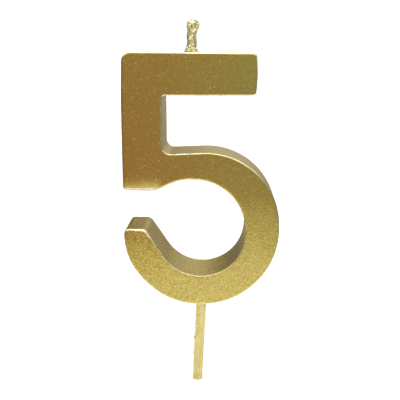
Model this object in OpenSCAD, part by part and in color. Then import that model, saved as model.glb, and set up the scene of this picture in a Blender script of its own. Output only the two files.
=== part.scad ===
// Number birthday candle, a gold "5": a white wax numeral dipped in metallic gold wax,
// with a braided wick in its top bar and a straight pick under its bowl.
// Frame: +X to the numeral's right, +Y away from the viewer, +Z up. The origin is on the
// pick's axis at the numeral's underside, halfway through its thickness.

/* [Numeral] */
// Height of the numeral from underside to top, mm
num_h = 70; // [56:1:90]
// Width of the numeral over the bowl, mm
num_w = 43.1; // [40:0.1:56]
// Thickness from front face to back face, mm
num_t = 16.5; // [13:0.5:22]
// Height of the top bar, mm
bar_h = 11.5; // [9:0.1:13]
// How far the top bar's end stops short of the bowl's widest point, mm
bar_short = 6.5; // [3:0.1:12]
// Width of the upright stem, mm
stem_w = 11; // [8:0.1:12]
// Top of the bowl's arm as a share of the numeral's height
arm_share = 0.631; // [0.58:0.001:0.64]
// Width of the bowl's stroke at the right and the underside, mm
stroke = 9.4; // [7:0.1:10.6]
// Thickness of the bowl's stroke at its top, mm
arm_t = 8.4; // [5.5:0.1:9]
// Height of the stem's foot above the underside, as a share of the numeral's height
foot_share = 0.465; // [0.45:0.001:0.49]
// Height of the open end of the bowl, as a share of the numeral's height
end_share = 0.31; // [0.28:0.005:0.33]
// Width of the flat on top of the bowl's open end, mm
end_w = 6.1; // [4.4:0.1:6.6]

/* [Gold wax] */
// Thickness of the gold dip coat on the numeral, mm
coat_t = 0.5; // [0.2:0.05:0.7]
// Thickness of the gold film on the pick, mm
film_t = 0.2; // [0.1:0.05:0.4]

/* [Wick] */
// Distance from the numeral's left side to the wick's axis at the top face, mm
wick_from_left = 18.5; // [15:0.5:26]
// Height of the coated wick above the top face, mm
wick_h = 9; // [7:0.2:14]
// Lean of the wick to the numeral's right, degrees
wick_lean = 4; // [0:1:8]
// Diameter of the wick's bore, mm
wick_bore_d = 2.2; // [1.8:0.1:2.8]
// Wax left between the wick's bore and the bar's underside, mm
wick_floor = 2.4; // [1.6:0.2:5]
// Thickness of the gold crust at the wick's waist, mm
crust_t = 0.3; // [0.2:0.05:0.6]
// Length of one full braid repeat, as a multiple of the bore's diameter
braid_repeat = 2.2; // [2.1:0.1:3.2]

/* [Pick] */
// Diameter of the bare wooden pick, mm
pick_d = 2.6; // [2:0.1:3.2]
// Length of bare pick below the underside, mm
pick_len = 26.3; // [20:0.1:60]
// Wax left between the pick's socket and the inside of the bowl, mm
pick_roof = 1.4; // [1:0.1:3]
// Lean of the pick to the numeral's left going down, degrees
pick_lean = 2.8; // [0:0.2:5]

/* [Hidden] */
$fn = 64;

// Sides of the numeral. The pick enters half way across the bowl.
x_left = -num_w / 2 + 0.1;
x_right = num_w / 2 + 0.1;
bar_right = x_right - bar_short;
stem_right = x_left + stem_w;
end_right = x_left + end_w;
bar_under = num_h - bar_h;
arm_top = num_h * arm_share;
// The arm is a little lower where it leaves the stem than over the bowl.
arm_sag = 1.4;
foot_z = num_h * foot_share;
end_z = num_h * end_share;

// Inside edge of the bowl.
hole_right = x_right - stroke;
hole_bottom = stroke - 0.95;
hole_top = arm_top - arm_t;
// Under the arm the edge drops to the foot along a short slope.
slope_top_x = x_left + 0.36 * num_w;
slope_foot_x = x_left + 0.209 * num_w;
hole_h = hole_top - hole_bottom;
// The bowl's open end tapers: run across for each millimetre down.
end_slope = 0.65;
end_foot_x = end_right + end_slope * (end_z - hole_bottom);
// Half of the edge's turn from that slope to the hole's flat underside.
end_half_turn = (90 - atan(end_slope)) / 2;
// The slope's top arc, how far it turns, and how far along the hole's top it ends.
slope_top_r = 11.5;
slope_turn = atan2(hole_top - foot_z, slope_top_x - slope_foot_x);
slope_top_reach = slope_top_r * tan(slope_turn / 2);
// The hole's arcs fill its height and its width without crossing each other.
hole_high_r = min(0.519 * hole_h, 0.95 * (hole_right - slope_top_x - slope_top_reach));
hole_low_r = min(0.471 * hole_h, 0.997 * (hole_right - end_foot_x) / (1 + tan(end_half_turn)));

// Corner radii.
bar_left_r = 2.4;
bar_right_r = 1.2;
// The stem's outer side leans in a little over the bar's height.
side_bow = 0.45;
side_bow_r = 150;
// The bar's free end bows out a little between its corners.
end_bow = 0.45;
end_bow_r = 30;
bar_mid = num_h - bar_h / 2;
nook_r = 0.8;
arm_fillet_r = 2.2;
shoulder_r = 0.46 * arm_top;
// The shoulder's arc ends this far down the bowl's right side, and the lower arc starts below it.
shoulder_turn = 90 + atan2(arm_sag, x_right - stem_right);
shoulder_reach = shoulder_r * tan(shoulder_turn / 2);
bowl_right_r = min(num_w / 2 + 0.1, arm_top - shoulder_reach - 0.05);
end_outer_r = 1.3;
end_inner_r = 1.8;
// The bowl's lower left is round like a circle of this radius, but its arc is tighter near
// the open end, so that it finishes below the end's corner.
bowl_left_r = min(0.98 * end_z, num_w - bowl_right_r - 0.2);
bowl_left_cut = (2 - sqrt(2)) * bowl_left_r;
bowl_end_r = min(0.97 * bowl_left_r, (end_z - end_outer_r - bowl_left_cut - 0.05) / tan(22.5));
slope_foot_r = 6.7;
foot_r = 1.1;

// Corners of the numeral in order, each [x, z, radius].
CORNERS = [
  [x_left + side_bow, num_h, bar_left_r],
  [x_left, bar_under, side_bow_r],
  [x_left, foot_z, foot_r],
  [slope_foot_x, foot_z, slope_foot_r],
  [slope_top_x, hole_top, slope_top_r],
  [hole_right, hole_top, hole_high_r],
  [hole_right, hole_bottom, hole_low_r],
  [end_foot_x, hole_bottom, hole_low_r],
  [end_right, end_z, end_inner_r],
  [x_left, end_z, end_outer_r],
  [x_left, bowl_left_cut, bowl_end_r],
  [x_left + bowl_left_cut, 0, 0.94 * bowl_left_r],
  [x_right, 0, bowl_right_r],
  [x_right, arm_top, shoulder_r],
  [stem_right, arm_top - arm_sag, arm_fillet_r],
  [stem_right, bar_under, nook_r],
  [bar_right - end_bow, bar_under, bar_right_r],
  [bar_right, bar_mid, end_bow_r],
  [bar_right - end_bow, num_h, bar_right_r],
];

// Longest straight piece that an arc is drawn with, mm, and the largest turn in one.
arc_step = 1.2;
arc_turn = 18;

// How far the seated wick and the plies stay from the ends of their bores.
end_gap = 0.4;
wick_bore_depth = bar_h - wick_floor;
// Three plies fill the bore.
ply_d = 0.27 * wick_bore_d;
braid_pitch = braid_repeat * wick_bore_d;
// Widest reach of the braid's path from the wick's axis.
ply_reach = (wick_bore_d - ply_d) / 2 - 0.04;
// Axis of the wick at the top face.
wick_x = x_left + wick_from_left;
// The coat's crown above the end of the braid.
crown_t = 0.9;
braid_top = wick_h - crown_t - end_gap;
braid_foot = end_gap - wick_bore_depth;

// How far the crust and the film are drawn into the numeral before they are cut to it.
crust_below = 0.6;
// Gap round the pick in its socket.
socket_gap = 0.03;
socket_d = pick_d + 2 * socket_gap;
pick_seat = hole_bottom - pick_roof;

function unit(v) = v / norm(v);
function turn_of(a, b) = atan2(a[0] * b[1] - a[1] * b[0], a * b);

// Points of the arc of radius r that rounds corner p between its neighbours a and b. A
// corner on a straight run stays one point.
function rounded_corner(a, p, b, r) =
  abs(turn_of(unit(p - a), unit(b - p))) < 0.01 ? [p] :
  let (
    u = unit(p - a),
    v = unit(b - p),
    turn = turn_of(u, v),
    side = sign(turn),
    reach = r * tan(abs(turn) / 2),
    start = p - reach * u,
    centre = start + r * side * [-u[1], u[0]],
    steps = max(1, ceil(abs(turn) / arc_turn), ceil(abs(turn) * r * PI / 180 / arc_step)),
    first = atan2(start[1] - centre[1], start[0] - centre[0])
  )
  [for (i = [0:steps]) centre + r * [cos(first + turn * i / steps), sin(first + turn * i / steps)]];

function xz(c) = [c[0], c[1]];

function outline() =
  let (n = len(CORNERS))
  [for (i = [0:n - 1])
    each rounded_corner(xz(CORNERS[(i + n - 1) % n]), xz(CORNERS[i]),
                        xz(CORNERS[(i + 1) % n]), CORNERS[i][2])];

// Prism of the numeral, thick along Y, with every side moved in by inset.
module numeral_prism(inset) {
  translate([0, num_t / 2 - inset, 0])
    rotate([90, 0, 0])
      linear_extrude(num_t - 2 * inset)
        offset(delta = -inset)
          polygon(outline());
}

// Places its children on the wick's axis, z = 0 at the top face.
module on_wick() {
  translate([wick_x, 0, num_h])
    rotate([0, wick_lean, 0])
      children();
}

// Places its children on the pick's axis, z = 0 at the underside.
module on_pick() {
  rotate([0, pick_lean, 0])
    children();
}

// Tools that open the numeral for the wick and the pick.
module wick_bore() {
  on_wick()
    translate([0, 0, -wick_bore_depth])
      cylinder(h = wick_bore_depth + 2, d = wick_bore_d);
}

module pick_socket() {
  on_pick()
    translate([0, 0, -2])
      cylinder(h = pick_seat + 2, d = socket_d);
}

// White wax casting under the gold.
module wax_core() {
  color("ivory")
    difference() {
      numeral_prism(coat_t);
      wick_bore();
      pick_socket();
    }
}

// Gold dip coat over the whole casting, open at the wick and at the pick.
module gold_coat() {
  color("goldenrod")
    difference() {
      numeral_prism(0);
      numeral_prism(coat_t);
      wick_bore();
      pick_socket();
    }
}

// One strand of the three-strand flat braid, which weaves across the wick and through it.
ply_sides = 8;
ply_rings = 64;
// The path's depth across the flat of the braid, as a share of its reach.
weave_y = 0.65;

// The path's point at height z for the strand that starts at phase ph.
function braid_point(z, ph) =
  let (a = 360 * z / braid_pitch + ph)
  [ply_reach * cos(a), weave_y * ply_reach * sin(2 * a), z];

module ply(ph) {
  length = braid_top - braid_foot;
  rings = [for (i = [0:ply_rings])
    let (
      z = braid_foot + length * i / ply_rings,
      p = braid_point(z, ph),
      t = unit(braid_point(z + 0.01, ph) - braid_point(z - 0.01, ph)),
      across = unit(cross([0, 1, 0], t)),
      up = cross(t, across)
    )
    [for (k = [0:ply_sides - 1])
      let (q = p + ply_d / 2 * (cos(360 * k / ply_sides) * across + sin(360 * k / ply_sides) * up))
      q]];
  points = [for (ring = rings) each ring];
  sides = [for (i = [0:ply_rings - 1])
    for (k = [0:ply_sides - 1])
      let (
        low = i * ply_sides,
        high = low + ply_sides,
        next = (k + 1) % ply_sides
      )
      each [[low + k, high + k, high + next], [low + k, high + next, low + next]]];
  foot = [for (k = [0:ply_sides - 1]) k];
  head = [for (k = [0:ply_sides - 1]) ply_rings * ply_sides + ply_sides - 1 - k];
  polyhedron(points, concat(sides, [foot], [head]));
}

module wick_ply_a() {
  color("whitesmoke")
    on_wick()
      ply(0);
}

module wick_ply_b() {
  color("whitesmoke")
    on_wick()
      ply(120);
}

module wick_ply_c() {
  color("whitesmoke")
    on_wick()
      ply(240);
}

// Gold wax crust on the exposed wick: a skirt at the bar, a waist, and a knob at the tip.
waist_r = wick_bore_d / 2 + crust_t;
skirt_r = waist_r + 0.65;
collar_r = waist_r + 0.12;
knob_r = waist_r + 0.38;
// Each is [radius, height as a share of the exposed height].
CRUST = [
  [skirt_r, 0],
  [skirt_r * 0.86, 0.07],
  [collar_r, 0.16],
  [collar_r, 0.34],
  [waist_r, 0.5],
  [collar_r, 0.62],
  [knob_r * 0.96, 0.74],
  [knob_r, 0.82],
  [knob_r * 0.9, 0.9],
  [knob_r * 0.62, 0.96],
];

module wick_coat() {
  color("goldenrod")
    difference() {
      on_wick()
        rotate_extrude()
          polygon(concat(
            [[0, -crust_below], [skirt_r, -crust_below]],
            [for (c = CRUST) [c[0], c[1] * wick_h]],
            [[0, wick_h]]));
      on_wick()
        translate([0, 0, -2])
          cylinder(h = wick_h - crown_t + 2, d = wick_bore_d);
      numeral_prism(0);
    }
}

// Wooden pick: a straight round stick from the top of its socket to its lower end.
module pick() {
  color("burlywood")
    on_pick()
      translate([0, 0, -pick_len])
        cylinder(h = pick_len + pick_seat - end_gap, d = pick_d);
}

// Gold film on the exposed pick, closed over its lower end and cut to the numeral's underside.
// It runs out to a short cone where the stick meets the wax.
film_r = pick_d / 2 + film_t;
run_out = 0.45;

module pick_coat() {
  color("khaki")
    difference() {
      on_pick() {
        translate([0, 0, -pick_len - film_t])
          cylinder(h = pick_len + film_t + crust_below, r = film_r);
        translate([0, 0, -run_out])
          cylinder(h = run_out + crust_below, r1 = film_r, r2 = film_r + run_out + crust_below);
      }
      on_pick()
        translate([0, 0, -pick_len])
          cylinder(h = pick_len + 2 * crust_below, d = pick_d);
      numeral_prism(0);
    }
}

wax_core();
gold_coat();
wick_ply_a();
wick_ply_b();
wick_ply_c();
wick_coat();
pick();
pick_coat();
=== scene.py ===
import math

import bmesh
import bpy
import numpy as np
from mathutils import Matrix, Vector, noise


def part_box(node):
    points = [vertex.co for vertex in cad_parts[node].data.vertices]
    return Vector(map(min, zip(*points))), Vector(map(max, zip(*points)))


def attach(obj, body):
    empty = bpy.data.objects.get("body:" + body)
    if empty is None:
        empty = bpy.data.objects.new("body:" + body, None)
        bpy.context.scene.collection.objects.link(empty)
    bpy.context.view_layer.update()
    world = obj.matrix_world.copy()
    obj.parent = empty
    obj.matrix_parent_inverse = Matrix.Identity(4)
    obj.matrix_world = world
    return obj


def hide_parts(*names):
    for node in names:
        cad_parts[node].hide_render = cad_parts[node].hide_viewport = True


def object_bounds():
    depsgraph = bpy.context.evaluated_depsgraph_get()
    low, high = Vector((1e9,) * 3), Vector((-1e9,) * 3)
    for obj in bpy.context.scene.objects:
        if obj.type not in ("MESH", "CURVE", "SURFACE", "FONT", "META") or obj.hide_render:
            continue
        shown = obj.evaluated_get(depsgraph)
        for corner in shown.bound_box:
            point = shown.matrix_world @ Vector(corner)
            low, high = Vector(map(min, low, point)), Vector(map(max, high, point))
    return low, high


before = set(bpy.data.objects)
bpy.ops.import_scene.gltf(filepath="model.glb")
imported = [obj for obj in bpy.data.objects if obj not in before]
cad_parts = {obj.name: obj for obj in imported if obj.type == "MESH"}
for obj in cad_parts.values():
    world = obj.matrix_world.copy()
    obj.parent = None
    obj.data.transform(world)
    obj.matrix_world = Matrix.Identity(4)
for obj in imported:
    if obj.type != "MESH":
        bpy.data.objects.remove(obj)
CAD_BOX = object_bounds()
MM = 0.001

# The numeral's box gives the places of the camera and the edges. The floor is at the pick's lower end.
SKIN_LOW, SKIN_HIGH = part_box("gold_coat")
FLOOR_Z = CAD_BOX[0].z


# ---------------------------------------------------------------- mesh helpers


def from_bmesh(name, bm):
    """A shown object made from this bmesh, which is used up."""
    mesh = bpy.data.meshes.new(name)
    bm.to_mesh(mesh)
    bm.free()
    made = bpy.data.objects.new(name, mesh)
    bpy.context.scene.collection.objects.link(made)
    return made


def remeshed(piece, voxel):
    """Makes one even closed skin of the piece's mesh, with quads of about this size."""
    modifier = piece.modifiers.new("even", "REMESH")
    modifier.mode = "VOXEL"
    modifier.voxel_size = voxel
    graph = bpy.context.evaluated_depsgraph_get()
    mesh = bpy.data.meshes.new_from_object(piece.evaluated_get(graph))
    piece.modifiers.clear()
    piece.data = mesh


def points_of(piece):
    """The piece's points as an array of rows x, y, z."""
    found = np.empty(len(piece.data.vertices) * 3)
    piece.data.vertices.foreach_get("co", found)
    return found.reshape(-1, 3)


def normals_of(piece):
    """The outward direction at each of the piece's points."""
    found = np.empty(len(piece.data.vertices) * 3)
    piece.data.vertices.foreach_get("normal", found)
    return found.reshape(-1, 3)


def move_points(piece, points):
    piece.data.vertices.foreach_set("co", points.reshape(-1))
    piece.data.update()


def relax(piece, rounds, share=0.5):
    """Moves each point towards the mean of its neighbours."""
    edges = np.empty(len(piece.data.edges) * 2, int)
    piece.data.edges.foreach_get("vertices", edges)
    a, b = edges.reshape(-1, 2).T
    points = points_of(piece)
    degree = np.bincount(edges, minlength=len(points))[:, None]
    for _ in range(rounds):
        total = np.zeros_like(points)
        for axis in range(3):
            total[:, axis] = np.bincount(a, points[b, axis], len(points))
            total[:, axis] += np.bincount(b, points[a, axis], len(points))
        points += share * (total / degree - points)
    move_points(piece, points)


def waves(points, size, seed):
    """Smooth noise from about -1 to 1 at each point, with features of this size."""
    shift = Vector((seed * 7.31, seed * 3.17, seed * 5.93))
    return np.array([noise.noise(Vector(p) / size + shift) for p in points])


def join_rings(bm, rings):
    """Quads between each closed ring of points and the next."""
    for low, high in zip(rings, rings[1:]):
        for k in range(len(low)):
            n = (k + 1) % len(low)
            bm.faces.new((low[k], low[n], high[n], high[k]))


def step(values, low, high):
    """0 below low, 1 above high, and a smooth rise between them."""
    t = np.clip((values - low) / (high - low), 0, 1)
    return t * t * (3 - 2 * t)


def finished(piece, material, node):
    """Smooths a new piece, gives it its material and the body it rides on, and hides the CAD node it stands
    for.
    """
    piece.data.polygons.foreach_set("use_smooth", [True] * len(piece.data.polygons))
    piece.data.materials.clear()
    piece.data.materials.append(material)
    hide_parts(node)
    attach(piece, "root")


# ------------------------------------------------------------------- the skin


def front_outline(node):
    """The (x, z) points round the node's flat front face, in order, in metres."""
    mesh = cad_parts[node].data
    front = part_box(node)[0].y
    key = {v.index: (round(v.co.x, 7), round(v.co.z, 7)) for v in mesh.vertices}
    uses = {}
    for face in mesh.polygons:
        ids = face.vertices
        if all(abs(mesh.vertices[i].co.y - front) < 1e-6 for i in ids):
            for i, j in zip(ids, [*ids[1:], ids[0]]):
                edge = (key[i], key[j])
                uses[edge] = uses.get(edge, 0) + 1
    onward = {a: b for a, b in uses if (b, a) not in uses}
    start = next(iter(onward))
    loop = [start]
    while onward[loop[-1]] != start:
        loop.append(onward[loop[-1]])
    return np.array(loop)


def inside_distance(flat, outline):
    """For each (x, z) point, its distance to the outline and the outline's outward direction there."""
    start, end = outline, np.roll(outline, -1, axis=0)
    along = end - start
    length = np.linalg.norm(along, axis=1)
    unit = along / length[:, None]
    area = np.sum(start[:, 0] * end[:, 1] - end[:, 0] * start[:, 1])
    outward = np.stack([unit[:, 1], -unit[:, 0]], axis=1) * np.sign(area)
    distance, direction = np.empty(len(flat)), np.empty((len(flat), 2))
    for first in range(0, len(flat), 4000):
        part = flat[first : first + 4000]
        away = part[:, None] - start[None]
        t = np.clip(np.sum(away * unit[None], axis=2), 0, length[None])
        gap = away - t[..., None] * unit[None]
        far = np.linalg.norm(gap, axis=2)
        nearest = np.argmin(far, axis=1)
        rows = np.arange(len(part))
        distance[first : first + 4000] = far[rows, nearest]
        direction[first : first + 4000] = outward[nearest]
    return distance, direction


# Places on the numeral, from its box.
WIDE = SKIN_HIGH.x - SKIN_LOW.x
TALL = SKIN_HIGH.z - SKIN_LOW.z
FOOT_Z = SKIN_LOW.z + 0.465 * TALL
END_Z = SKIN_LOW.z + 0.31 * TALL
FOOT_RIGHT = SKIN_LOW.x + 0.26 * WIDE
END_RIGHT = SKIN_LOW.x + 0.2 * WIDE


def edge_radius(points):
    """Radius of each point's nearest face edge: uneven, and softer behind and at the open end."""
    x, z = points[:, 0], points[:, 2]
    radius = 0.42 * MM + 0.10 * MM * waves(points, 5 * MM, 3) + 0.07 * MM * waves(points, 1.3 * MM, 12)
    on_top = step(z, SKIN_HIGH.z - 3 * MM, SKIN_HIGH.z - 1 * MM)
    radius += 0.12 * MM * on_top * step(x, 0, SKIN_HIGH.x)
    radius += 0.35 * MM * step(points[:, 1], -1 * MM, 1 * MM)
    left = 1 - step(x, END_RIGHT, END_RIGHT + 4 * MM)
    at_end = left * step(z, END_Z - 3 * MM, END_Z - 1 * MM) * (1 - step(z, END_Z + 1 * MM, END_Z + 2 * MM))
    # Little at the open end's outer corner, and most at its inner one.
    extra = 0.05 + 0.50 * step(x, SKIN_LOW.x + 1 * MM, END_RIGHT)
    return radius + extra * MM * at_end


def face_fall(points):
    """How far the front and back faces fall away towards the foot's underside and the open end's top."""
    x, z = points[:, 0], points[:, 2]
    near_foot = np.clip(1 - (z - FOOT_Z) / (4.2 * MM), 0, 1) * (z > FOOT_Z - 0.5 * MM)
    near_foot *= 1 - step(x, FOOT_RIGHT - 2 * MM, FOOT_RIGHT + 3 * MM)
    near_end = np.clip(1 - (END_Z - z) / (6.5 * MM), 0, 1) * (z < END_Z + 0.5 * MM)
    near_end *= 1 - step(x, END_RIGHT, END_RIGHT + 4 * MM)
    return 0.70 * MM * near_foot**2 + 0.50 * MM * near_end**2


def make_skin(material):
    """The numeral's gold skin: the CAD outline as wax leaves it, with run edges and gently waved faces."""
    outline = front_outline("gold_coat")
    bm = bmesh.new()
    loop = [bm.verts.new((x, SKIN_LOW.y, z)) for x, z in outline]
    face = bm.faces.new(loop)
    grown = bmesh.ops.extrude_face_region(bm, geom=[face])
    moved = [g for g in grown["geom"] if isinstance(g, bmesh.types.BMVert)]
    bmesh.ops.translate(bm, verts=moved, vec=(0, SKIN_HIGH.y - SKIN_LOW.y, 0))
    bmesh.ops.recalc_face_normals(bm, faces=bm.faces)
    skin = from_bmesh("numeral_gold_skin", bm)
    remeshed(skin, 0.24 * MM)

    points = points_of(skin)
    inside, outward = inside_distance(points[:, [0, 2]], outline)
    middle = (SKIN_LOW.y + SKIN_HIGH.y) / 2
    half = (SKIN_HIGH.y - SKIN_LOW.y) / 2
    side = np.sign(points[:, 1] - middle)
    depth = np.clip(half - np.abs(points[:, 1] - middle), 0, half)
    radius = edge_radius(points)
    across, down = radius - inside, radius - depth
    reach = np.hypot(across, down)
    corner = (across > 0) & (down > 0) & (reach > radius)
    shrink = np.where(corner, radius / np.maximum(reach, 1e-9), 1)
    new_inside = np.where(corner, radius - across * shrink, inside)
    new_depth = np.where(corner, radius - down * shrink, depth)
    points[:, [0, 2]] -= outward * (new_inside - inside)[:, None]
    flat = step(-depth, -1.2 * MM, -0.2 * MM)
    points[:, 1] = middle + side * (half - new_depth - face_fall(points) * flat)
    move_points(skin, points)
    # How far round its edge's curve each point is: 1 half way, and 0 on the face and on the side. The gold
    # paints a highlight on the edges by this.
    angle = np.arctan2(np.maximum(down, 0), np.maximum(across, 1e-9))
    painted_highlight_share = np.where(corner, np.sin(2 * angle), 0)
    skin.data.attributes.new("painted_edge_highlight", "FLOAT", "POINT").data.foreach_set("value", painted_highlight_share)
    relax(skin, 3, 0.4)

    # The dip coat lies in long soft waves, and the bar's top droops a little towards its free end.
    points, normals = points_of(skin), normals_of(skin)
    swell = 0.055 * MM * waves(points, 11 * MM, 1) + 0.016 * MM * waves(points, 3.2 * MM, 2)
    swell += 0.003 * MM * waves(points, 0.8 * MM, 4)
    points += normals * swell[:, None]
    droop = step(points[:, 2], SKIN_HIGH.z - 5 * MM, SKIN_HIGH.z)
    droop *= step(points[:, 0], SKIN_LOW.x, SKIN_HIGH.x - 5 * MM)
    points[:, 2] -= 0.3 * MM * droop
    move_points(skin, points)
    finished(skin, material, "gold_coat")


# ------------------------------------------------------------------- the wick


def ring_centre(node, height):
    """Middle of the node's points near this height."""
    co = points_of(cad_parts[node])
    near = co[np.abs(co[:, 2] - height) < 0.05 * MM]
    return Vector((near.min(0) + near.max(0)) / 2)


def along_axis(foot, head):
    """Moves local Z onto the line from foot to head, with local X kept to the numeral's right."""
    up = (head - foot).normalized()
    right = Vector((1, 0, 0))
    right = (right - up * right.dot(up)).normalized()
    turn = Matrix((right, up.cross(right), up)).transposed().to_4x4()
    return Matrix.Translation(foot) @ turn


def add_tube(bm, path, radii, sides):
    """A closed round tube along the path, with a radius at each point."""
    rings = []
    for i, p in enumerate(path):
        ahead = path[min(i + 1, len(path) - 1)] - path[max(i - 1, 0)]
        ahead.normalize()
        across = Vector((0, 1, 0)).cross(ahead).normalized()
        up = ahead.cross(across)
        turns = [2 * math.pi * k / sides for k in range(sides)]
        radius = float(radii[i])
        rings.append([bm.verts.new(p + radius * (math.cos(t) * across + math.sin(t) * up)) for t in turns])
    join_rings(bm, rings)
    bm.faces.new(rings[0][::-1])
    bm.faces.new(rings[-1])


def add_lump(bm, centre, radius, stretch):
    """A ball of wax, stretched upwards, with its centre and radius in mm."""
    made = bmesh.ops.create_icosphere(bm, subdivisions=3, radius=radius * MM)
    bmesh.ops.scale(bm, verts=made["verts"], vec=(1, 1, stretch))
    bmesh.ops.translate(bm, verts=made["verts"], vec=Vector(centre) * MM)


# Lumps of wax on the wick, each (x, y, height, radius, stretch) in mm from the wick's foot.
WICK_LUMPS = [
    (0.00, 0.10, 7.00, 1.28, 1.38),
    (0.02, -0.72, 7.25, 0.74, 1.15),
    (0.35, -0.35, 8.25, 0.55, 0.95),
    (-0.55, -0.62, 6.15, 0.50, 1.35),
    (-0.10, 0.85, 7.00, 0.62, 1.30),
    (0.55, -1.10, 1.75, 0.36, 1.10),
    (-0.45, -1.20, 1.30, 0.34, 0.90),
    (-0.95, -0.85, 0.70, 0.42, 0.80),
    (1.35, -0.70, 0.70, 0.40, 0.80),
    (0.15, -1.55, 0.60, 0.32, 0.80),
    (0.35, -0.60, 0.00, 2.20, 0.10),
    (0.30, 1.25, 0.80, 0.45, 0.90),
    (-0.90, 0.95, 1.60, 0.38, 1.10),
]


def make_crust(material):
    """The gold crust on the wick: strands under wax, a flared foot at the bar, and a looped tip."""
    foot = ring_centre("wick_coat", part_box("wick_coat")[0].z)
    co = points_of(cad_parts["wick_coat"])
    head = Vector(co[np.argmax(co[:, 2])])
    tall = (head - foot).length / MM
    place = along_axis(foot, head)

    bm = bmesh.new()
    # Strands twist slowly round each other. One crosses the front half way up.
    pitch, reach, strand = 15, 0.64, 0.80
    heights = np.linspace(-0.25, tall - 1.9, 60)
    for part in range(3):
        turn = 2 * math.pi * ((heights - 3.2) / pitch + 0.75 + part / 3)
        path = [Vector((reach * math.cos(t), reach * math.sin(t), h)) * MM for t, h in zip(turn, heights)]
        fat = strand + 0.05 * np.sin(2.7 * heights + 2 * part)
        add_tube(bm, path, fat * MM, 16)
    # Wax between the strands, and the skirt that it runs out to on the bar.
    rise = np.linspace(-0.3, tall - 2.2, 40)
    skirt = 1.18 + 0.72 * np.exp(-((np.maximum(rise, 0) / 1.0) ** 1.2))
    lean = 0.08 * np.exp(-np.maximum(rise, 0) / 0.9)
    add_tube(bm, [Vector((lean[i], 0, rise[i])) * MM for i in range(len(rise))], skirt * MM, 32)
    # The wick's end is looped over under the knob's wax.
    turn = np.linspace(math.radians(-60), math.radians(245), 48)
    loop = [Vector((0.04 + 1.26 * math.cos(t), -0.30, 7.05 + 1.42 * math.sin(t))) * MM for t in turn]
    add_tube(bm, loop, np.full(len(loop), 0.50 * MM), 14)
    for x, y, z, radius, stretch in WICK_LUMPS:
        add_lump(bm, (x, y, z), radius, stretch)

    crust = from_bmesh("wick_gold_crust", bm)
    crust.data.transform(place)
    remeshed(crust, 0.075 * MM)
    relax(crust, 8, 0.5)
    points, normals = points_of(crust), normals_of(crust)
    rough = 0.07 * MM * waves(points, 0.8 * MM, 5) + 0.03 * MM * waves(points, 0.35 * MM, 6)
    points += normals * rough[:, None]
    move_points(crust, points)
    finished(crust, material, "wick_coat")


# ------------------------------------------------------------------- the pick

# Drips on the pick's film, each (mm below the numeral, turn round the pick in degrees, height mm, reach mm).
DRIPS = [
    (13.6, 196, 0.30, 0.55),
    (18.4, 190, 0.17, 0.75),
    (7.2, 20, 0.10, 0.80),
    (22.5, 340, 0.08, 0.90),
]


def make_film(material):
    """The gold film on the pick: slightly tapered, with uneven wax, small drips and a square end."""
    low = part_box("pick_coat")[0]
    co = points_of(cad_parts["pick_coat"])
    bottom = co[co[:, 2] < low.z + 0.2 * MM]
    foot = Vector((bottom.min(0) + bottom.max(0)) / 2)
    head = Vector((0, 0, 0))
    axis = (head - foot).normalized()
    foot = foot - axis * (foot.z - low.z) * 0.5
    # The film's top is hidden this far up inside the numeral.
    tucked = 0.35 * MM
    long = (head - foot).length + tucked
    place = along_axis(foot, head)

    rings, sides = 260, 64
    at = np.linspace(0, long, rings)
    turn = np.linspace(0, 2 * math.pi, sides, endpoint=False)
    height, angle = np.meshgrid(at, turn, indexing="ij")
    radius = 1.43 * MM + 0.13 * MM * height / long
    # The lower end's rim is rounded by this much.
    cut = 0.12 * MM
    radius -= cut * (1 - np.sqrt(np.clip(1 - (1 - np.clip(height / cut, 0, 1)) ** 2, 0, 1)))
    for below, degrees, proud, wide in DRIPS:
        far = (long - tucked - height) / MM - below
        round_by = np.angle(np.exp(1j * (angle - math.radians(degrees)))) * 1.5
        radius += proud * MM * np.exp(-(far**2 * np.where(far > 0, 1.6, 0.7) + round_by**2) / wide**2)
    points = np.stack([radius * np.cos(angle), radius * np.sin(angle), height], axis=2).reshape(-1, 3)
    bumps = 0.035 * MM * waves(points, 2.4 * MM, 8) + 0.018 * MM * waves(points, 0.7 * MM, 9)
    flat = points[:, :2] / np.linalg.norm(points[:, :2], axis=1)[:, None]
    points[:, :2] += flat * bumps[:, None]

    bm = bmesh.new()
    grid = [bm.verts.new(p) for p in points]
    ring = [grid[i * sides : (i + 1) * sides] for i in range(rings)]
    join_rings(bm, ring)
    middle_low = bm.verts.new((0, 0, 0.02 * MM))
    middle_high = bm.verts.new((0, 0, long))
    for k in range(sides):
        n = (k + 1) % sides
        bm.faces.new((middle_low, ring[0][n], ring[0][k]))
        bm.faces.new((middle_high, ring[-1][k], ring[-1][n]))
    film = from_bmesh("pick_gold_film", bm)
    film.data.transform(place)
    finished(film, material, "pick_coat")


# ------------------------------------------------------------------ materials


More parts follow.
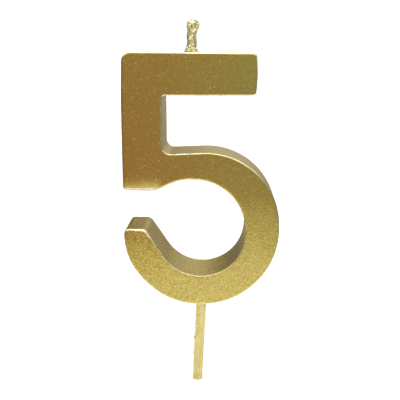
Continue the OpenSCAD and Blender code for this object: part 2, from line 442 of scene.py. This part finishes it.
class Shader:
    """Builds one node material, a step at a time."""

    def __init__(self, name, kind="ShaderNodeBsdfPrincipled"):
        self.material = bpy.data.materials.new(name)
        self.material.use_nodes = True
        self.nodes = self.material.node_tree.nodes
        self.links = self.material.node_tree.links
        self.nodes.clear()
        self.out = self.nodes.new("ShaderNodeOutputMaterial")
        self.surface = self.nodes.new(kind)
        self.join(self.surface.outputs[0], self.out.inputs["Surface"])
        self.place = self.nodes.new("ShaderNodeTexCoord").outputs["Object"]

    def join(self, output, socket):
        self.links.new(output, socket)

    def set(self, **values):
        """Sets sockets of the surface shader that are the same all over."""
        for name, value in values.items():
            self.surface.inputs[name.replace("_", " ")].default_value = value

    def along(self, axis):
        """The place along X, Y or Z, in metres."""
        split = self.nodes.new("ShaderNodeSeparateXYZ")
        self.join(self.place, split.inputs["Vector"])
        return split.outputs[axis]

    def grain(self, size, detail=2.0, squash=(1, 1, 1)):
        """Noise with features of this size in metres."""
        node = self.nodes.new("ShaderNodeTexNoise")
        node.inputs["Scale"].default_value = 1 / size
        node.inputs["Detail"].default_value = detail
        vector = self.place
        if squash != (1, 1, 1):
            mapping = self.nodes.new("ShaderNodeMapping")
            mapping.inputs["Scale"].default_value = squash
            self.join(vector, mapping.inputs["Vector"])
            vector = mapping.outputs["Vector"]
        self.join(vector, node.inputs["Vector"])
        return node.outputs["Fac"]

    def stored(self, name):
        """A value that the mesh stores at each of its points."""
        node = self.nodes.new("ShaderNodeAttribute")
        node.attribute_name = name
        return node.outputs["Fac"]

    def bend(self):
        """About 0.5 where the surface is flat, less in folds and more on edges."""
        return self.nodes.new("ShaderNodeNewGeometry").outputs["Pointiness"]

    def cells(self, size):
        """A random number from 0 to 1 for each small cell."""
        cells = self.nodes.new("ShaderNodeTexVoronoi")
        cells.inputs["Scale"].default_value = 1 / size
        self.join(self.place, cells.inputs["Vector"])
        parts = self.nodes.new("ShaderNodeSeparateColor")
        self.join(cells.outputs["Color"], parts.inputs["Color"])
        return parts.outputs["Red"]

    def specks(self, size, share, depth=0.08):
        """1 on a share of small random cells and 0 elsewhere."""
        return self.ranged(self.cells(size), 1 - share, 1 - share + depth * share, 0, 1)

    def ranged(self, value, low, high, new_low, new_high):
        """The value's place between low and high, carried over to new_low and new_high."""
        node = self.nodes.new("ShaderNodeMapRange")
        names = ("From Min", "From Max", "To Min", "To Max")
        for name, number in zip(names, (low, high, new_low, new_high)):
            node.inputs[name].default_value = number
        self.join(value, node.inputs["Value"])
        return node.outputs["Result"]

    def math(self, operation, a, b):
        """Two numbers or outputs put together by this operation."""
        node = self.nodes.new("ShaderNodeMath")
        node.operation = operation
        for socket, value in zip(node.inputs, (a, b)):
            if isinstance(value, (int, float)):
                socket.default_value = value
            else:
                self.join(value, socket)
        return node.outputs["Value"]

    def blend(self, share, a, b):
        """Colour a where share is 0 and b where it is 1."""
        node = self.nodes.new("ShaderNodeMix")
        node.data_type = "RGBA"
        self.join(share, node.inputs["Factor"])
        for name, value in (("A", a), ("B", b)):
            socket = next(s for s in node.inputs if s.name == name and s.type == "RGBA")
            if isinstance(value, tuple):
                socket.default_value = (*value, 1)
            else:
                self.join(value, socket)
        return next(s for s in node.outputs if s.type == "RGBA")

    def bump(self, height, distance, under=None):
        """A normal raised by height up to this distance in metres, over another normal."""
        node = self.nodes.new("ShaderNodeBump")
        node.inputs["Distance"].default_value = distance
        node.inputs["Strength"].default_value = 1.0
        self.join(height, node.inputs["Height"])
        if under is not None:
            self.join(under, node.inputs["Normal"])
        return node.outputs["Normal"]

    def paint(self, colour, roughness=None, normal=None):
        """Joins what varies to the surface shader, and gives the material."""
        for value, name in ((colour, "Base Color"), (roughness, "Roughness"), (normal, "Normal")):
            if value is not None:
                self.join(value, self.surface.inputs[name])
        return self.material


def gold_dip():
    """Satin metallic wax under a thin gloss: fine grain, faint mottling and sparse bright flakes, with a
    painted highlight on the rounded edges, painted shade towards the back and a painted reflection tint.
    """
    s = Shader("gold_dip")
    s.set(Metallic=1.0, Coat_Weight=1.0, Coat_Roughness=0.22)
    cloud = s.ranged(s.grain(9 * MM, 2), 0.35, 0.65, 0, 1)
    mottle = s.ranged(s.grain(1.4 * MM, 3), 0.3, 0.7, 0, 1)
    fine = s.ranged(s.grain(0.42 * MM, 2), 0.36, 0.64, 0, 1)
    flakes = s.specks(0.22 * MM, 0.010)
    # Painted highlight: the rounded edges are paler half way round their curve, in patches.
    painted_highlight_patches = s.ranged(s.grain(2 * MM, 3), 0.40, 0.58, 0.35, 0.9)
    edge = s.math("MULTIPLY", s.ranged(s.stored("painted_edge_highlight"), 0.25, 0.9, 0, 1), painted_highlight_patches)
    # Painted shade: darker towards the back. Painted reflection: greener towards the right.
    behind = s.ranged(s.along("Y"), -6 * MM, 8 * MM, 0, 0.45)
    painted_reflection_rightward = s.ranged(s.along("X"), 0, SKIN_HIGH.x, 0, 0.6)
    # The dip ran down, so it is more pebbled low on the bowl; its lighter colour there is a painted
    # reflection of the bright floor.
    low = s.ranged(s.along("Z"), 0.16 * TALL, 0.44 * TALL, 1, 0)
    grain = s.math("MULTIPLY", s.cells(0.36 * MM), s.ranged(low, 0, 1, 0.4, 1))
    base = s.blend(cloud, (0.44, 0.335, 0.060), (0.46, 0.355, 0.067))
    # Painted reflection: greener towards the right.
    base = s.blend(painted_reflection_rightward, base, (0.42, 0.375, 0.080))
    base = s.blend(s.math("MULTIPLY", mottle, 0.3), base, (0.37, 0.28, 0.045))
    # Lighter low on the bowl: painted floor reflection over real grain.
    bright = s.math("MULTIPLY", fine, s.ranged(low, 0, 1, 0.25, 0.75))
    base = s.blend(bright, base, (0.70, 0.58, 0.14))
    base = s.blend(grain, base, (0.66, 0.54, 0.12))
    pits = s.math("MULTIPLY", s.specks(0.26 * MM, 0.22, 0.3), s.ranged(low, 0, 1, 0.1, 0.6))
    base = s.blend(pits, base, (0.38, 0.28, 0.04))
    base = s.blend(s.math("MULTIPLY", flakes, 0.6), base, (1.0, 0.88, 0.40))
    # Painted shade: darker towards the back.
    base = s.blend(behind, base, (0.33, 0.26, 0.06))
    # Painted highlight: cream along the rounded edges.
    base = s.blend(edge, base, (0.84, 0.79, 0.56))
    rough = s.math("ADD", s.ranged(fine, 0, 1, 0.36, 0.26), s.math("MULTIPLY", flakes, 0.2))
    pebble = s.math("MULTIPLY", fine, s.ranged(low, 0, 1, 0.12, 1))
    normal = s.bump(pebble, 0.11 * MM)
    uneven = s.math("MULTIPLY", mottle, s.ranged(low, 0, 1, 0.3, 1))
    normal = s.bump(uneven, 0.016 * MM, under=normal)
    return s.paint(base, rough, normal)


def gold_crust():
    """Thick bright wax over the braid, browner at its foot and darker in specks, with painted shade in its
    folds.
    """
    s = Shader("gold_crust")
    s.set(Metallic=0.82, Coat_Weight=0.6, Coat_Roughness=0.15)
    lump = s.grain(0.5 * MM, 3)
    fine = s.grain(0.16 * MM, 2)
    # Painted shade in the folds, where the surface bends inward.
    painted_fold_shade = s.ranged(s.bend(), 0.40, 0.49, 1, 0)
    low = s.ranged(s.along("Z"), SKIN_HIGH.z + 0.6 * MM, SKIN_HIGH.z + 2.6 * MM, 0.7, 0)
    base = s.blend(s.ranged(lump, 0.40, 0.60, 0, 1), (0.66, 0.62, 0.28), (0.90, 0.88, 0.60))
    base = s.blend(low, base, (0.40, 0.33, 0.11))
    dark = s.math("MULTIPLY", s.specks(0.42 * MM, 0.12), 0.75)
    base = s.blend(dark, base, (0.20, 0.19, 0.05))
    # Painted shade: dark olive in the folds.
    base = s.blend(painted_fold_shade, base, (0.22, 0.22, 0.08))
    rough = s.math("ADD", s.ranged(lump, 0.3, 0.7, 0.26, 0.38), s.math("MULTIPLY", low, 0.2))
    normal = s.bump(lump, 0.06 * MM)
    normal = s.bump(fine, 0.03 * MM, under=normal)
    return s.paint(base, rough, normal)


def gold_film():
    """Thin pale film over wood: mottled, with streaks along the stick, and lighter towards its top as
    painted light.
    """
    s = Shader("gold_film")
    s.set(Metallic=0.72, Specular_IOR_Level=0.5)
    streak = s.grain(0.9 * MM, 3, squash=(1, 1, 0.12))
    mottle = s.grain(0.55 * MM, 3)
    fine = s.grain(0.2 * MM, 2)
    # Painted light: paler towards the top, under the numeral's bowl.
    painted_light_upper = s.ranged(s.along("Z"), -16 * MM, -1 * MM, 0, 0.7)
    base = s.blend(s.ranged(streak, 0.35, 0.65, 0, 1), (0.54, 0.455, 0.165), (0.63, 0.555, 0.24))
    base = s.blend(painted_light_upper, base, (0.74, 0.65, 0.29))
    thin = s.math("MULTIPLY", s.ranged(mottle, 0.52, 0.66, 0, 1), 0.75)
    base = s.blend(thin, base, (0.46, 0.33, 0.10))
    flakes = s.math("MULTIPLY", s.specks(0.25 * MM, 0.02), 0.45)
    base = s.blend(flakes, base, (0.95, 0.90, 0.62))
    rough = s.ranged(mottle, 0.3, 0.7, 0.32, 0.48)
    normal = s.bump(mottle, 0.06 * MM)
    normal = s.bump(fine, 0.03 * MM, under=normal)
    return s.paint(base, rough, normal)


def core_wax():
    """White paraffin: soft, cloudy and a little translucent."""
    s = Shader("core_wax")
    s.set(Subsurface_Weight=0.35, Subsurface_Scale=0.002, Subsurface_Radius=(1.0, 0.8, 0.6))
    cloud = s.grain(4 * MM, 3)
    crystal = s.grain(0.5 * MM, 3)
    base = s.blend(s.ranged(cloud, 0.35, 0.65, 0, 1), (0.90, 0.87, 0.78), (0.94, 0.92, 0.86))
    rough = s.ranged(crystal, 0.3, 0.7, 0.38, 0.52)
    return s.paint(base, rough, s.bump(crystal, 0.03 * MM))


def cotton():
    """Waxed cotton: fibres along the ply."""
    s = Shader("cotton")
    s.set(Sheen_Weight=0.25, Sheen_Roughness=0.5)
    fibre = s.grain(0.09 * MM, 3, squash=(1, 1, 0.15))
    patch = s.grain(1.2 * MM, 2)
    base = s.blend(s.ranged(patch, 0.3, 0.7, 0, 1), (0.86, 0.83, 0.74), (0.92, 0.90, 0.84))
    base = s.blend(s.math("MULTIPLY", fibre, 0.4), base, (0.68, 0.63, 0.52))
    return s.paint(base, s.ranged(fibre, 0.3, 0.7, 0.6, 0.8), s.bump(fibre, 0.03 * MM))


def pick_wood():
    """Birch: pale, with fine grain along the stick."""
    s = Shader("pick_wood")
    grain = s.grain(0.35 * MM, 4, squash=(1, 1, 0.05))
    pores = s.grain(0.1 * MM, 2, squash=(1, 1, 0.1))
    base = s.blend(s.ranged(grain, 0.35, 0.65, 0, 1), (0.72, 0.56, 0.35), (0.84, 0.71, 0.50))
    base = s.blend(s.ranged(pores, 0.62, 0.75, 0, 0.6), base, (0.48, 0.33, 0.18))
    return s.paint(base, s.ranged(grain, 0.3, 0.7, 0.55, 0.7), s.bump(pores, 0.03 * MM))


# --------------------------------------------------------------------- studio


def make_floor():
    """Pale paper under the pick's lower end."""
    bm = bmesh.new()
    bmesh.ops.create_grid(bm, x_segments=1, y_segments=1, size=6)
    bmesh.ops.translate(bm, verts=bm.verts, vec=(0, 0, FLOOR_Z))
    floor = from_bmesh("floor", bm)
    s = Shader("floor_paper")
    s.set(Specular_IOR_Level=0.2)
    tone = s.ranged(s.grain(40 * MM, 2), 0.3, 0.7, 0, 1)
    s.paint(s.blend(tone, (0.90, 0.90, 0.89), (0.91, 0.91, 0.90)))
    s.set(Roughness=0.85)
    floor.data.materials.append(s.material)


def glossy_only(piece):
    """Shown in the gold's reflections alone: the camera and the floor don't see it."""
    piece.visible_camera = False
    piece.visible_diffuse = False
    piece.visible_shadow = False
    piece.visible_transmission = False


def make_surround():
    """Dim cloth round the set for the gold to reflect: a wall, and a skirt of it on the floor."""
    radius, sides = 0.34, 96
    front_tall, back_tall = 0.24, 0.30
    bm = bmesh.new()
    turns = [2 * math.pi * k / sides for k in range(sides)]
    # Just clear of the floor.
    low = FLOOR_Z + 0.0005
    rings = [[], [], []]
    for t in turns:
        # The skirt stops well short in front and behind, and comes near at both sides.
        skirt = 0.165 - 0.26 * max(0, min(0.3, -math.cos(t))) - 0.1 * max(0, math.cos(t))
        behind = 0.5 + 0.5 * math.tanh(3 * math.sin(t))
        tall = front_tall + (back_tall - front_tall) * behind
        for ring, reach, z in zip(rings, (skirt, radius, radius), (low, low, low + tall)):
            ring.append(bm.verts.new((reach * math.cos(t), reach * math.sin(t), z)))
    join_rings(bm, rings)
    wall = from_bmesh("surround", bm)

    # In front: brown low down, brown to green from left to right above that, and plain at the top.
    # Behind: dark on the left, pale brown on the right, and darker low down. Dim at both sides.
    s = Shader("surround_cloth", "ShaderNodeEmission")
    x, y, z = s.along("X"), s.along("Y"), s.along("Z")
    brown = s.blend(s.ranged(x, -0.13, 0.10, 0, 1), (0.63, 0.28, 0.25), (0.43, 0.42, 0.38))
    olive = s.blend(s.ranged(x, -0.13, 0.09, 0, 1), (0.69, 0.22, 0.17), (0.46, 0.77, 0.68))
    front = s.blend(s.ranged(z, FLOOR_Z + 0.03, FLOOR_Z + 0.08, 0, 1), brown, olive)
    front = s.blend(s.ranged(z, 0.085, 0.12, 0, 1), front, (0.56, 0.47, 0.31))
    back = s.blend(s.ranged(x, -0.09, 0.0, 0, 1), (0.15, 0.10, 0.07), (0.66, 0.57, 0.38))
    back = s.blend(s.ranged(z, 0.01, 0.08, 0.6, 0), back, (0.26, 0.21, 0.15))
    tone = s.blend(s.ranged(y, -0.05, 0.05, 0, 1), front, back)
    tone = s.blend(s.ranged(x, 0.10, 0.24, 0, 1), tone, (0.38, 0.33, 0.25))
    tone = s.blend(s.ranged(x, -0.24, -0.10, 1, 0), tone, (0.19, 0.17, 0.15))
    s.join(tone, s.surface.inputs["Color"])
    s.surface.inputs["Strength"].default_value = 0.85
    wall.data.materials.append(s.material)
    glossy_only(wall)


def make_overhead():
    """A bright soft panel over the set, seen only in the gold, for the light lines on upward edges."""
    bm = bmesh.new()
    half_side, above = 0.16, 0.45
    bmesh.ops.create_grid(bm, x_segments=1, y_segments=1, size=half_side)
    bmesh.ops.translate(bm, verts=bm.verts, vec=(0, 0, SKIN_HIGH.z + above))
    panel = from_bmesh("overhead", bm)
    s = Shader("overhead_silk", "ShaderNodeEmission")
    s.surface.inputs["Color"].default_value = (1.0, 0.98, 0.93, 1)
    s.surface.inputs["Strength"].default_value = 5.2
    panel.data.materials.append(s.material)
    glossy_only(panel)


def make_world():
    """White to the camera. Its light is soft, and dimmer at the horizon."""
    world = bpy.data.worlds.new("studio")
    bpy.context.scene.world = world
    world.use_nodes = True
    nodes, links = world.node_tree.nodes, world.node_tree.links
    nodes.clear()
    split = nodes.new("ShaderNodeSeparateXYZ")
    links.new(nodes.new("ShaderNodeTexCoord").outputs["Generated"], split.inputs["Vector"])
    ramp = nodes.new("ShaderNodeValToRGB")
    links.new(split.outputs["Z"], ramp.inputs["Fac"])
    first, last = ramp.color_ramp.elements
    first.position, first.color = 0.05, (0.45, 0.44, 0.42, 1)
    last.position, last.color = 0.35, (1.0, 0.99, 0.98, 1)
    light = nodes.new("ShaderNodeBackground")
    light.inputs["Strength"].default_value = 1.68
    links.new(ramp.outputs["Color"], light.inputs["Color"])
    seen = nodes.new("ShaderNodeBackground")
    seen.inputs["Color"].default_value = (1, 1, 1, 1)
    seen.inputs["Strength"].default_value = 1.05
    mix = nodes.new("ShaderNodeMixShader")
    links.new(nodes.new("ShaderNodeLightPath").outputs["Is Camera Ray"], mix.inputs["Fac"])
    links.new(light.outputs["Background"], mix.inputs[1])
    links.new(seen.outputs["Background"], mix.inputs[2])
    links.new(mix.outputs["Shader"], nodes.new("ShaderNodeOutputWorld").inputs["Surface"])


def make_camera():
    """Level with the top of the bar and a little to the right, looking down and in at the middle."""
    data = bpy.data.cameras.new("camera")
    data.lens = 61.3
    data.clip_start = 0.01
    camera = bpy.data.objects.new("camera", data)
    bpy.context.scene.collection.objects.link(camera)
    distance, aside, below_top = 182.25 * MM, 6.37 * MM, 0.46 * MM
    down, inward = math.radians(12.156), math.radians(2.065)
    camera.location = (aside, SKIN_LOW.y - distance, SKIN_HIGH.z - below_top)
    camera.rotation_euler = (math.pi / 2 - down, 0, inward)
    bpy.context.scene.camera = camera


make_camera()
make_world()
make_floor()
make_surround()
make_overhead()

make_skin(gold_dip())
make_crust(gold_crust())
make_film(gold_film())
yarn = cotton()
plies = ("wick_ply_a", "wick_ply_b", "wick_ply_c")
for node, made in (("wax_core", core_wax()), ("pick", pick_wood()), *((ply, yarn) for ply in plies)):
    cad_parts[node].data.materials.clear()
    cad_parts[node].data.materials.append(made)

bpy.context.scene.view_settings.view_transform = "Standard"
